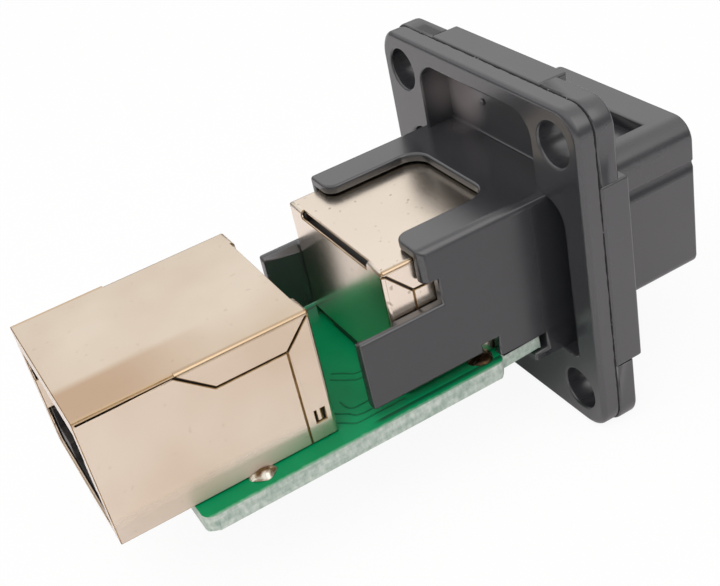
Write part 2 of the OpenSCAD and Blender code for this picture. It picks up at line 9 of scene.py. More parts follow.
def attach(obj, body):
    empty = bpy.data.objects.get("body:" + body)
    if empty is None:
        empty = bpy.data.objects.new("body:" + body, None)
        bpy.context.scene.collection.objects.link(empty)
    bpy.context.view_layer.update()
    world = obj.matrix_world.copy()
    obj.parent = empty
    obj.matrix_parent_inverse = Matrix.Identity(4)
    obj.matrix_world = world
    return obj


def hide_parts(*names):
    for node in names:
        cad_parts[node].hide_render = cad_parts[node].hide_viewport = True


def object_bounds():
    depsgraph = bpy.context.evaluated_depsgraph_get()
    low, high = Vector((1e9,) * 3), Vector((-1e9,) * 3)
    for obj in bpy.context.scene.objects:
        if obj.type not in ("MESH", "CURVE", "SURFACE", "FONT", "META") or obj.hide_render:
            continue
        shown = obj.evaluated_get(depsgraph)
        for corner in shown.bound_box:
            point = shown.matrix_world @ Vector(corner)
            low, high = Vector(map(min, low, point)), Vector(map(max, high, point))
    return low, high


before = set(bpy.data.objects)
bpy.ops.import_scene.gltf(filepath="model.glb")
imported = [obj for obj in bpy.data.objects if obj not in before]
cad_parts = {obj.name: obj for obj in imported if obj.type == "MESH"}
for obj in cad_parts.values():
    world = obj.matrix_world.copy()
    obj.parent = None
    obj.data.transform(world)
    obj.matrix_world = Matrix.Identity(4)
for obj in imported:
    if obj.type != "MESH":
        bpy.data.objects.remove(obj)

MM = 0.001
cad_low, cad_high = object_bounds()
FLOOR_Z = cad_low.z

# Sizes and places shared with the part's source, in millimetres
BOARD_TOP = -6.0
BOARD_THICK = 1.6
BOARD_UNDER = BOARD_TOP - BOARD_THICK
BOARD_FRONT = 1.9
BOARD_REAR = 34.4
JACKS = ("front", "rear")
CONTACTS = 8
CONTACT_PITCH = 1.02
TAIL_ROWS = {"front": (11.01, 13.55), "rear": (25.29, 22.75)}
TAB_X = 7.875
TAB_Y = {"front": 7.75, "rear": 28.55}

# Where the housing's sides have their gloss turned down as painted shade: beyond this X, and on the shell
# in front of this Y and about this Z
HOUSING_SIDE = 9.15
SHELL_REAR = -4.5
DIP_Z = 2.9

# Middle of the pool of light painted on the pocket's floor, in metres
LIGHT_PATCH_PLACE = (0.0058, -0.00275, 0.0104)

# Parting line round the flange: half width, half height, corner radius, place and fineness at a corner
PARTING_X = 14.15
PARTING_Z = 15.35
PARTING_R = 2.3
PARTING_Y = -1.62
RING_STEPS = 12

# The upright seams beside the shields' back flaps
SEAM_X = 7.92
SEAM_Y = (12.45, 23.85)
SEAM_TOP = 3.4

# Radius of the rounded edges, in millimetres, and the steps round them
ROUNDING = {"housing": (0.25, 4), "shield": (0.07, 2), "insulator": (0.06, 2), "contact": (0.03, 1)}

# Edges sharper than a corner are rounded, by up to this share of the narrower face's breadth
CORNER = math.radians(30)
ROUND_SHARE = 0.35

# A triangle narrower than this share of an edge's length is too thin for that edge to be rounded
SLIVER = 0.3

# A shallow bend stays sharp where both its faces are broader than this, in millimetres
BEND = math.radians(15)
BROAD = 0.4

# Points closer than this are merged, in millimetres: on the rounded pieces and on the board
WELD = 0.015
BOARD_WELD = 0.002

# Fineness of the board's torn edge, along it in millimetres and through it in layers
EDGE_PITCH = 0.14
EDGE_LAYERS = 10

# Where the board's outline lies, apart from its holes: beyond this X, and this near its two ends
RIM_X = 8.3
RIM_FRONT = 0.6
RIM_REAR = 1.1

# Solder: fineness of the joints' skin, height and breadth of its lumps, radii of the pads, in millimetres
SKIN_PITCH = 0.06
LUMP_HEIGHT = 0.16
LUMP_BREADTH = 0.7
TAIL_PAD_R = 0.88
TAB_PAD_R = 1.5

# Thinnest and thickest radius of the beads in the parting line and in the shields' seams
PARTING_BEAD = (0.01, 0.06)
SEAM_BEAD = (0.03, 0.055)

# Lines that show on the board between the jacks, in millimetres of X and Y
UPPER_TRACES = (
    ((-0.97, 18.35), (-1.65, 17.53), (-2.4, 16.84), (-2.6, 15.2)),
    ((-1.63, 18.81), (-2.5, 18.0), (-3.23, 17.13), (-3.5, 15.2)),
    ((-4.83, 19.6), (-5.64, 19.57), (-6.15, 19.38), (-6.39, 18.94), (-6.35, 18.34), (-6.3, 15.2)),
    ((-5.6, 21.0), (-6.71, 19.79), (-7.28, 19.45), (-7.46, 18.88), (-7.5, 15.2)),
    ((-6.9, 21.2), (-7.8, 20.32), (-8.15, 19.94), (-8.22, 19.42), (-8.2, 15.2)),
)

# Camera fitted to the photograph: its axes, its place in millimetres and its lens
CAMERA_RIGHT = (-0.491222, -0.850252, -0.189135)
CAMERA_UP = (0.407020, -0.416037, 0.813171)
CAMERA_BACK = (-0.770088, 0.322466, 0.550436)
CAMERA_PLACE = (-77.849, 46.200, 55.292)
SENSOR = 36
LENS = 59.318

# What every lamp faces, in metres
LAMP_TARGET = (0, 0.015, 0)


def colour(code):
    """An sRGB hex colour as linear red, green, blue and alpha."""
    parts = [int(code[i:i + 2], 16) / 255 for i in (1, 3, 5)]
    return [p / 12.92 if p <= 0.04045 else ((p + 0.055) / 1.055) ** 2.4 for p in parts] + [1.0]


def add(tree, kind, inputs=None, **settings):
    """Adds a node with its settings, and fills or links its inputs."""
    node = tree.nodes.new(kind)
    for name, value in settings.items():
        setattr(node, name, value)
    for name, value in (inputs or {}).items():
        if isinstance(value, bpy.types.NodeSocket):
            tree.links.new(value, node.inputs[name])
        else:
            node.inputs[name].default_value = value
    return node


def per_mm(size):
    """Texture scale whose features are about that many millimetres across."""
    return 1 / (size * MM)


def material(name):
    """A new material with its tree, its shader's inputs and its object coordinates."""
    made = bpy.data.materials.new(name)
    made.use_nodes = True
    tree = made.node_tree
    shader = tree.nodes["Principled BSDF"]
    coords = add(tree, "ShaderNodeTexCoord").outputs["Object"]
    return made, tree, shader, coords


def set_shader(tree, shader, **inputs):
    """Fills or links the shader's inputs, with spaces written as underscores."""
    for name, value in inputs.items():
        socket = shader.inputs[name.replace("_", " ")]
        if isinstance(value, bpy.types.NodeSocket):
            tree.links.new(value, socket)
        else:
            socket.default_value = value


def moulded_nylon():
    # Black glass-filled nylon from a polished mould: blue black where nothing bright is reflected, with
    # a soft gloss, faint flow marks, a pool of light painted on the pocket's floor and a fine grain. The
    # grain is drawn 0.2 mm wide, coarser than the real one, so that it shows.
    made, tree, shader, coords = material("black_moulded_nylon")
    flow = add(tree, "ShaderNodeTexNoise", {"Vector": coords, "Scale": per_mm(6), "Detail": 4})
    grain = add(tree, "ShaderNodeTexNoise", {"Vector": coords, "Scale": per_mm(0.2), "Detail": 2})
    base = add(tree, "ShaderNodeMix", {
        "Factor": flow.outputs["Fac"], "A": colour("#2c2e32"), "B": colour("#363739")}, data_type="RGBA")
    # A pool of light painted on the pocket's floor, palest at its middle
    spot = add(tree, "ShaderNodeVectorMath", {0: coords, 1: LIGHT_PATCH_PLACE}, operation="DISTANCE")
    light_patch_falloff = add(tree, "ShaderNodeMapRange", {
        "Value": spot.outputs["Value"], "From Min": 4.2 * MM, "From Max": 1.0 * MM, "To Max": 0.85},
        interpolation_type="SMOOTHSTEP")
    place = add(tree, "ShaderNodeSeparateXYZ", {"Vector": coords})
    behind = add(tree, "ShaderNodeMapRange", {
        "Value": place.outputs["Y"], "From Min": -3.6 * MM, "From Max": -3.1 * MM})
    painted_light_patch = add(tree, "ShaderNodeMath", {
        0: light_patch_falloff.outputs["Result"], 1: behind.outputs["Result"]}, operation="MULTIPLY")
    with_painted_light_patch = add(tree, "ShaderNodeMix", {
        "Factor": painted_light_patch.outputs[0], "A": base.outputs["Result"], "B": colour("#a8a1a0")},
        data_type="RGBA")
    gloss = add(tree, "ShaderNodeMapRange", {
        "Value": flow.outputs["Fac"], "From Min": 0.3, "From Max": 0.7, "To Min": 0.2, "To Max": 0.28})
    bump = add(tree, "ShaderNodeBump", {
        "Height": grain.outputs["Fac"], "Strength": 0.2, "Distance": 0.012 * MM})
    # Painted shade: the dip under the shell's step has its gloss turned down, so that it reads dark.
    above = add(tree, "ShaderNodeMath", {0: place.outputs["Z"], 1: DIP_Z * MM}, operation="SUBTRACT")
    away = add(tree, "ShaderNodeMath", {0: above.outputs[0]}, operation="ABSOLUTE")
    in_dip = add(tree, "ShaderNodeMapRange", {
        "Value": away.outputs[0], "From Min": 0.65 * MM, "From Max": 0.05 * MM},
        interpolation_type="SMOOTHSTEP")
    aside = add(tree, "ShaderNodeMath", {0: place.outputs["X"]}, operation="ABSOLUTE")
    outside = add(tree, "ShaderNodeMath", {
        0: aside.outputs[0], 1: HOUSING_SIDE * MM}, operation="GREATER_THAN")
    on_shell = add(tree, "ShaderNodeMath", {
        0: place.outputs["Y"], 1: SHELL_REAR * MM}, operation="LESS_THAN")
    shell_side = add(tree, "ShaderNodeMath", {
        0: outside.outputs[0], 1: on_shell.outputs[0]}, operation="MULTIPLY")
    dull = add(tree, "ShaderNodeMath", {
        0: in_dip.outputs["Result"], 1: shell_side.outputs[0]}, operation="MULTIPLY")
    # Painted shade: the cage's sides have their gloss turned down a little too, so that they read darker.
    on_cage = add(tree, "ShaderNodeMapRange", {
        "Value": place.outputs["Y"], "From Min": 1 * MM, "From Max": 3 * MM, "To Max": 0.4})
    cage_side_shade = add(tree, "ShaderNodeMath", {
        0: outside.outputs[0], 1: on_cage.outputs["Result"]}, operation="MULTIPLY")
    painted_shade_dulling = add(tree, "ShaderNodeMath", {
        0: dull.outputs[0], 1: cage_side_shade.outputs[0]}, operation="MAXIMUM")
    shine = add(tree, "ShaderNodeMapRange", {
        "Value": painted_shade_dulling.outputs[0], "To Min": 0.8, "To Max": 0.15})
    set_shader(tree, shader, Base_Color=with_painted_light_patch.outputs["Result"], Roughness=gloss.outputs["Result"],
               Normal=bump.outputs["Normal"], IOR=1.6, Specular_IOR_Level=shine.outputs["Result"])
    return made


def nickel_sheet():
    # Nickel-plated steel sheet, stamped, folded and handled: a warm satin metal with faint cloudy
    # patches, tan folds, a few pits and the slight waves of thin sheet. Its roofs are a shade darker,
    # painted shade that holds back the light from above. The front jack's is paler, and the rear jack's
    # has a tan band along its roof's near edge, partly tarnish and partly a painted reflection of the dim
    # walls, and a dull film of flux along its foot.
    made, tree, shader, coords = material("nickel_plated_sheet")
    cloud = add(tree, "ShaderNodeTexNoise", {"Vector": coords, "Scale": per_mm(9), "Detail": 2})
    cloud_mix = add(tree, "ShaderNodeMapRange", {
        "Value": cloud.outputs["Fac"], "From Min": 0.35, "From Max": 0.75})
    clean = add(tree, "ShaderNodeMix", {
        "Factor": cloud_mix.outputs["Result"], "A": colour("#e0d2c1"), "B": colour("#d5c3ae")},
        data_type="RGBA")
    place = add(tree, "ShaderNodeSeparateXYZ", {"Vector": coords})
    to_front = add(tree, "ShaderNodeMapRange", {
        "Value": place.outputs["Y"], "From Min": 21 * MM, "From Max": 15 * MM})
    paler_front = add(tree, "ShaderNodeMix", {
        "Factor": to_front.outputs["Result"], "A": clean.outputs["Result"], "B": colour("#ecdfd0")},
        data_type="RGBA")
    # A tan band along the rear jack's roof near edge: partly tarnish, partly a painted reflection of the
    # dim walls
    across = add(tree, "ShaderNodeMapRange", {
        "Value": place.outputs["X"], "From Min": -2.9 * MM, "From Max": -4.1 * MM},
        interpolation_type="SMOOTHSTEP")
    along = add(tree, "ShaderNodeMapRange", {
        "Value": place.outputs["Y"], "From Min": 25.5 * MM, "From Max": 38 * MM, "To Max": 0.85},
        interpolation_type="SMOOTHSTEP")
    on_roof = add(tree, "ShaderNodeMapRange", {
        "Value": place.outputs["Z"], "From Min": 5.95 * MM, "From Max": 6.08 * MM})
    edge = add(tree, "ShaderNodeMath", {
        0: across.outputs["Result"], 1: along.outputs["Result"]}, operation="MULTIPLY")
    reflection_and_tarnish = add(tree, "ShaderNodeMath", {
        0: edge.outputs[0], 1: on_roof.outputs["Result"]}, operation="MULTIPLY")
    # Painted shade: the roofs are made a shade darker, against the light from above
    roofs_painted_darker = add(tree, "ShaderNodeMix", {
        "Factor": on_roof.outputs["Result"], "A": paler_front.outputs["Result"], "B": colour("#ebebea")},
        data_type="RGBA", blend_type="MULTIPLY")
    toned = add(tree, "ShaderNodeMix", {
        "Factor": reflection_and_tarnish.outputs[0], "A": roofs_painted_darker.outputs["Result"], "B": colour("#b1957a")},
        data_type="RGBA")
    aside = add(tree, "ShaderNodeMath", {0: place.outputs["X"]}, operation="ABSOLUTE")
    outer = add(tree, "ShaderNodeMapRange", {
        "Value": aside.outputs[0], "From Min": 7.6 * MM, "From Max": 7.8 * MM})
    upper = add(tree, "ShaderNodeMapRange", {
        "Value": place.outputs["Z"], "From Min": 5.65 * MM, "From Max": 5.85 * MM, "To Max": 0.85})
    fold = add(tree, "ShaderNodeMath", {
        0: outer.outputs["Result"], 1: upper.outputs["Result"]}, operation="MULTIPLY")
    folded = add(tree, "ShaderNodeMix", {
        "Factor": fold.outputs[0], "A": toned.outputs["Result"], "B": colour("#bda484")},
        data_type="RGBA")
    pits = add(tree, "ShaderNodeTexNoise", {"Vector": coords, "Scale": per_mm(0.6), "Detail": 1})
    pit_depth = add(tree, "ShaderNodeMapRange", {
        "Value": to_front.outputs["Result"], "To Min": 0.12, "To Max": 0.5})
    pit_mix = add(tree, "ShaderNodeMapRange", {
        "Value": pits.outputs["Fac"], "From Min": 0.7, "From Max": 0.77,
        "To Max": pit_depth.outputs["Result"]})
    base = add(tree, "ShaderNodeMix", {
        "Factor": pit_mix.outputs["Result"], "A": folded.outputs["Result"], "B": colour("#8d7760")},
        data_type="RGBA")
    foot = add(tree, "ShaderNodeMapRange", {
        "Value": place.outputs["Z"], "From Min": -3.2 * MM, "From Max": -4.8 * MM},
        interpolation_type="SMOOTHSTEP")
    to_rear = add(tree, "ShaderNodeMapRange", {
        "Value": place.outputs["Y"], "From Min": 20 * MM, "From Max": 29 * MM, "To Max": 0.88})
    film = add(tree, "ShaderNodeMath", {
        0: foot.outputs["Result"], 1: to_rear.outputs["Result"]}, operation="MULTIPLY")
    metal = add(tree, "ShaderNodeMath", {0: 1.0, 1: film.outputs[0]}, operation="SUBTRACT")
    gloss = add(tree, "ShaderNodeMapRange", {
        "Value": cloud.outputs["Fac"], "From Min": 0.3, "From Max": 0.7, "To Min": 0.18, "To Max": 0.25})
    wave = add(tree, "ShaderNodeTexNoise", {"Vector": coords, "Scale": per_mm(7), "Detail": 1})
    bump = add(tree, "ShaderNodeBump", {
        "Height": wave.outputs["Fac"], "Strength": 0.12, "Distance": 0.06 * MM})
    set_shader(tree, shader, Base_Color=base.outputs["Result"], Metallic=metal.outputs[0],
               Roughness=gloss.outputs["Result"], Normal=bump.outputs["Normal"])
    return made


def worn_nickel():
    # Nickel rubbed thin along the folds and cut edges of the sheet, where it has turned tan in patches.
    made, tree, shader, coords = material("nickel_worn_at_folds")
    patch = add(tree, "ShaderNodeTexNoise", {"Vector": coords, "Scale": per_mm(1.6), "Detail": 3})
    spread = add(tree, "ShaderNodeMapRange", {
        "Value": patch.outputs["Fac"], "From Min": 0.35, "From Max": 0.65})
    base = add(tree, "ShaderNodeMix", {
        "Factor": spread.outputs["Result"], "A": colour("#8f6f44"), "B": colour("#b89a70")},
        data_type="RGBA")
    gloss = add(tree, "ShaderNodeMapRange", {
        "Value": patch.outputs["Fac"], "From Min": 0.3, "From Max": 0.7, "To Min": 0.6, "To Max": 0.45})
    set_shader(tree, shader, Base_Color=base.outputs["Result"], Metallic=1.0,
               Roughness=gloss.outputs["Result"])
    return made


def solder_mask():
    # Green solder mask over copper and glass cloth: a satin lacquer of deep colour that lies a little
    # unevenly, with the weave of the cloth just showing through. It thins out at the board's sides, and
    # a shadow of the cage's walls is painted on it along their foot.
    made, tree, shader, coords = material("green_solder_mask")
    lay = add(tree, "ShaderNodeTexNoise", {"Vector": coords, "Scale": per_mm(4), "Detail": 3})
    base = add(tree, "ShaderNodeMix", {
        "Factor": lay.outputs["Fac"], "A": colour("#007a48"), "B": colour("#009a62")}, data_type="RGBA")
    place = add(tree, "ShaderNodeSeparateXYZ", {"Vector": coords})
    aside = add(tree, "ShaderNodeMath", {0: place.outputs["X"]}, operation="ABSOLUTE")
    # Painted shadow of the cage's walls on the board, just outside their foot
    foot = add(tree, "ShaderNodeMapRange", {
        "Value": aside.outputs[0], "From Min": 9.55 * MM, "From Max": 9.25 * MM, "To Max": 0.75})
    outside = add(tree, "ShaderNodeMath", {0: aside.outputs[0], 1: 9 * MM}, operation="GREATER_THAN")
    along = add(tree, "ShaderNodeMapRange", {
        "Value": place.outputs["Y"], "From Min": 19 * MM, "From Max": 18 * MM})
    by_wall = add(tree, "ShaderNodeMath", {
        0: outside.outputs[0], 1: along.outputs["Result"]}, operation="MULTIPLY")
    flux_and_shade = add(tree, "ShaderNodeMath", {
        0: foot.outputs["Result"], 1: by_wall.outputs[0]}, operation="MULTIPLY")
    wall_shadowed = add(tree, "ShaderNodeMix", {
        "Factor": flux_and_shade.outputs[0], "A": base.outputs["Result"], "B": colour("#0c2a20")}, data_type="RGBA")
    ragged = add(tree, "ShaderNodeTexNoise", {"Vector": coords, "Scale": per_mm(0.5), "Detail": 3})
    reach = add(tree, "ShaderNodeMath", {
        0: ragged.outputs["Fac"], 1: 0.3 * MM, 2: aside.outputs[0]}, operation="MULTIPLY_ADD")
    thin = add(tree, "ShaderNodeMapRange", {
        "Value": reach.outputs[0], "From Min": 9.82 * MM, "From Max": 10.05 * MM, "To Max": 0.8})
    thinned = add(tree, "ShaderNodeMix", {
        "Factor": thin.outputs["Result"], "A": wall_shadowed.outputs["Result"], "B": colour("#8fbaa3")},
        data_type="RGBA")
    weave = add(tree, "ShaderNodeTexVoronoi", {"Vector": coords, "Scale": per_mm(0.45)})
    bump = add(tree, "ShaderNodeBump", {
        "Height": weave.outputs["Distance"], "Strength": 0.12, "Distance": 0.02 * MM})
    set_shader(tree, shader, Base_Color=thinned.outputs["Result"], Roughness=0.42,
               Normal=bump.outputs["Normal"], IOR=1.5, Specular_IOR_Level=0.2)
    return made


def masked_copper():
    # Copper traces under the same mask, which look a darker green.
    made, tree, shader, coords = material("masked_copper_trace")
    lay = add(tree, "ShaderNodeTexNoise", {"Vector": coords, "Scale": per_mm(2), "Detail": 2})
    base = add(tree, "ShaderNodeMix", {
        "Factor": lay.outputs["Fac"], "A": colour("#00643d"), "B": colour("#00714a")}, data_type="RGBA")
    set_shader(tree, shader, Base_Color=base.outputs["Result"], Roughness=0.38, IOR=1.5,
               Specular_IOR_Level=0.25)
    return made


def cut_laminate():
    # Routed edge of a glass and epoxy laminate: pale grey green, matt and torn, with light strokes of
    # glass across the thickness and thin plies along the board.
    made, tree, shader, coords = material("cut_glass_laminate")
    strokes = add(tree, "ShaderNodeMapping", {"Vector": coords, "Scale": (1, 1, 0.6)})
    fibre = add(tree, "ShaderNodeTexNoise", {
        "Vector": strokes.outputs["Vector"], "Scale": per_mm(0.45), "Detail": 4, "Roughness": 0.6})
    plies = add(tree, "ShaderNodeMapping", {"Vector": coords, "Scale": (0.3, 0.3, 2)})
    ply = add(tree, "ShaderNodeTexNoise", {
        "Vector": plies.outputs["Vector"], "Scale": per_mm(0.8), "Detail": 3})
    blend = add(tree, "ShaderNodeMix", {
        "Factor": 0.4, "A": fibre.outputs["Fac"], "B": ply.outputs["Fac"]}, data_type="FLOAT")
    base = add(tree, "ShaderNodeValToRGB", {"Fac": blend.outputs["Result"]})
    ramp = base.color_ramp
    ramp.elements[0].position, ramp.elements[0].color = 0.34, colour("#93ab9c")
    ramp.elements[1].position, ramp.elements[1].color = 0.64, colour("#d2dcd2")
    bump = add(tree, "ShaderNodeBump", {
        "Height": blend.outputs["Result"], "Strength": 0.6, "Distance": 0.05 * MM})
    set_shader(tree, shader, Base_Color=base.outputs["Color"], Roughness=0.7,
               Normal=bump.outputs["Normal"], IOR=1.5)
    return made


def tin_solder(name, bare, clean, residue):
    # Hand-soldered tin with brown flux left in its folds: bright where it froze first, dull elsewhere.
    # The two shares of the lumps' height are where the flux ends and where the tin is clean, and the
    # residue is the flux's colour.
    made, tree, shader, coords = material(name)
    lumps = add(tree, "ShaderNodeTexNoise", {"Vector": coords, "Scale": per_mm(0.8), "Detail": 4})
    place = add(tree, "ShaderNodeSeparateXYZ", {"Vector": coords})
    crown = add(tree, "ShaderNodeMapRange", {
        "Value": place.outputs["Z"], "From Min": (BOARD_TOP + 0.1) * MM,
        "From Max": (BOARD_TOP + 0.45) * MM, "To Max": -0.14})
    washed = add(tree, "ShaderNodeMath", {0: lumps.outputs["Fac"], 1: crown.outputs["Result"]})
    flux_and_shade = add(tree, "ShaderNodeMapRange", {
        "Value": washed.outputs[0], "From Min": bare, "From Max": clean})
    base = add(tree, "ShaderNodeMix", {
        "Factor": flux_and_shade.outputs["Result"], "A": colour(residue), "B": colour("#e2dccf")},
        data_type="RGBA")
    gloss = add(tree, "ShaderNodeMapRange", {
        "Value": lumps.outputs["Fac"], "From Min": 0.3, "From Max": 0.7, "To Min": 0.42, "To Max": 0.16})
    set_shader(tree, shader, Base_Color=base.outputs["Result"], Metallic=0.9,
               Roughness=gloss.outputs["Result"])
    return made


def gold_plate():
    # Thin gold on spring bronze: warm and bright, with fine drawing marks.
    made, tree, shader, coords = material("gold_plated_bronze")
    marks = add(tree, "ShaderNodeTexNoise", {"Vector": coords, "Scale": per_mm(0.3), "Detail": 2})
    base = add(tree, "ShaderNodeMix", {
        "Factor": marks.outputs["Fac"], "A": colour("#c79b45"), "B": colour("#e8c673")}, data_type="RGBA")
    set_shader(tree, shader, Base_Color=base.outputs["Result"], Metallic=1.0, Roughness=0.25)
    return made


def nylon_flash(name, light, dark):
    # Thin ragged flash of the same nylon at the parting line, matt, in two uneven tones. In near-black
    # tones it is painted shade in the parting line's gap.
    made, tree, shader, coords = material(name)
    tone = add(tree, "ShaderNodeTexNoise", {"Vector": coords, "Scale": per_mm(0.4), "Detail": 2})
    base = add(tree, "ShaderNodeMix", {
        "Factor": tone.outputs["Fac"], "A": colour(light), "B": colour(dark)}, data_type="RGBA")
    set_shader(tree, shader, Base_Color=base.outputs["Result"], Roughness=0.7, IOR=1.5)
    return made


def dark_insulator():
    # Dark thermoplastic polyester, moulded in a polished tool: smooth, slightly glossy, a bit uneven.
    made, tree, shader, coords = material("dark_moulded_polyester")
    flow = add(tree, "ShaderNodeTexNoise", {"Vector": coords, "Scale": per_mm(3), "Detail": 3})
    base = add(tree, "ShaderNodeMix", {
        "Factor": flow.outputs["Fac"], "A": colour("#1d1c1c"), "B": colour("#2a2827")}, data_type="RGBA")
    set_shader(tree, shader, Base_Color=base.outputs["Result"], Roughness=0.4, IOR=1.55)
    return made


def background_rays(tree, seen, mirrored):
    """How much of the white background a ray gets: a share in view, another in mirrors and glass."""
    path = add(tree, "ShaderNodeLightPath")
    glass = add(tree, "ShaderNodeMath", {
        0: path.outputs["Is Glossy Ray"], 1: path.outputs["Is Transmission Ray"]}, operation="MAXIMUM")
    in_mirror = add(tree, "ShaderNodeMath", {0: glass.outputs[0], 1: mirrored}, operation="MULTIPLY")
    in_view = add(tree, "ShaderNodeMath", {
        0: path.outputs["Is Camera Ray"], 1: seen}, operation="MULTIPLY")
    return add(tree, "ShaderNodeMath", {
        0: in_view.outputs[0], 1: in_mirror.outputs[0]}, operation="MAXIMUM").outputs[0]


def white_floor():
    # Matt white paper that reads as white in the picture and keeps a soft shadow.
    made, tree, shader, coords = material("white_paper")
    tone = add(tree, "ShaderNodeTexNoise", {"Vector": coords, "Scale": per_mm(40), "Detail": 2})
    base = add(tree, "ShaderNodeMix", {
        "Factor": tone.outputs["Fac"], "A": colour("#f6f6f6"), "B": colour("#fbfbfb")}, data_type="RGBA")
    set_shader(tree, shader, Base_Color=base.outputs["Result"], Roughness=0.9)
    glow = add(tree, "ShaderNodeEmission", {"Color": colour("#ffffff"), "Strength": 1.0})
    mix = add(tree, "ShaderNodeMixShader", {
        0: background_rays(tree, 0.93, 0.1), 1: shader.outputs["BSDF"], 2: glow.outputs["Emission"]})
    tree.links.new(mix.outputs[0], tree.nodes["Material Output"].inputs["Surface"])
    return made


def new_object(name, mesh):
    made = bpy.data.objects.new(name, mesh)
    bpy.context.scene.collection.objects.link(made)
    return made


def plain_mesh(thing):
    """Replaces an object's modifiers by their result."""
    seen = thing.evaluated_get(bpy.context.evaluated_depsgraph_get())
    mesh = bpy.data.meshes.new_from_object(seen)
    thing.modifiers.clear()
    thing.data = mesh
    return thing


def dress(thing, slot, *replaced):
    """Puts a piece on the body, in place of the CAD nodes that it stands for. The slot is not used."""
    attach(thing, "root")
    if replaced:
        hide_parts(*replaced)


def breadth(face, edge):
    """How far a face reaches from one of its edges."""
    start, end = (v.co for v in edge.verts)
    along = (end - start).normalized()
    return max((v.co - start).cross(along).length for v in face.verts)


def rounded_copy(node, name, finishes, width, segments):
    """A copy of a CAD node with its outer edges rounded, by less on narrow faces.

    The last of the finishes is given to the roundings. An edge that stands on the board stays square.
    """
    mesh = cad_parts[node].data.copy()
    build = bmesh.new()
    build.from_mesh(mesh)
    bmesh.ops.remove_doubles(build, verts=build.verts, dist=WELD * MM)
    bmesh.ops.dissolve_limit(
        build, angle_limit=math.radians(0.5), verts=build.verts, edges=build.edges)
    weight = build.edges.layers.float.new("bevel_weight_edge")
    for edge in build.edges:
        angle = edge.calc_face_angle_signed(0)
        on_board = all(abs(v.co.z - BOARD_TOP * MM) < WELD * MM for v in edge.verts)
        room = min(breadth(face, edge) for face in edge.link_faces)
        by_triangle = any(len(face.verts) == 3 for face in edge.link_faces)
        sliver = by_triangle and room < SLIVER * edge.calc_length()
        if angle > CORNER and not on_board and not sliver:
            edge[weight] = min(1, ROUND_SHARE * room / (width * MM))
        elif angle < -CORNER or angle > BEND and room > BROAD * MM:
            edge.smooth = False
    for face in build.faces:
        face.smooth = True
    build.to_mesh(mesh)
    build.free()
    mesh.materials.clear()
    for finish in finishes:
        mesh.materials.append(finish)
    made = new_object(name, mesh)
    bevel = made.modifiers.new("edges", "BEVEL")
    bevel.material = len(finishes) - 1
    bevel.width = width * MM
    bevel.segments = segments
    bevel.limit_method = "WEIGHT"
    bevel.use_clamp_overlap = False
    bevel.loop_slide = False
    bevel.miter_outer = "MITER_ARC"
    normals = made.modifiers.new("normals", "WEIGHTED_NORMAL")
    normals.weight = 100
    normals.keep_sharp = True
    return plain_mesh(made)


def tear(x, y, depth):
    """How far a routed edge is torn back and up, in millimetres.

    The place on the outline is in millimetres, and the depth is a share of the board's thickness.
    """
    strokes = noise.noise(Vector((x * 2.6, y * 2.6, depth * 0.8)))
    fibres = noise.noise(Vector((x * 7, y * 7, depth * 3)))
    plies = 0.5 + 0.5 * math.sin(depth * math.tau * 4 + 2 * strokes)
    broad = max(0, noise.noise(Vector((x * 0.9, y * 0.9, 9))))
    narrow = max(0, noise.noise(Vector((x * 2.3, y * 2.3, 5))))
    bites = (broad + 0.7 * narrow + 0.4 * max(0, fibres)) * max(0, depth - 0.6) / 0.4
    body = 4 * depth * (1 - depth)
    back = max(0, 0.03 + 0.025 * strokes + body * (0.03 * fibres + 0.018 * plies) + 0.22 * bites)
    return back, 0.3 * bites * max(0, depth - 0.8) / 0.2


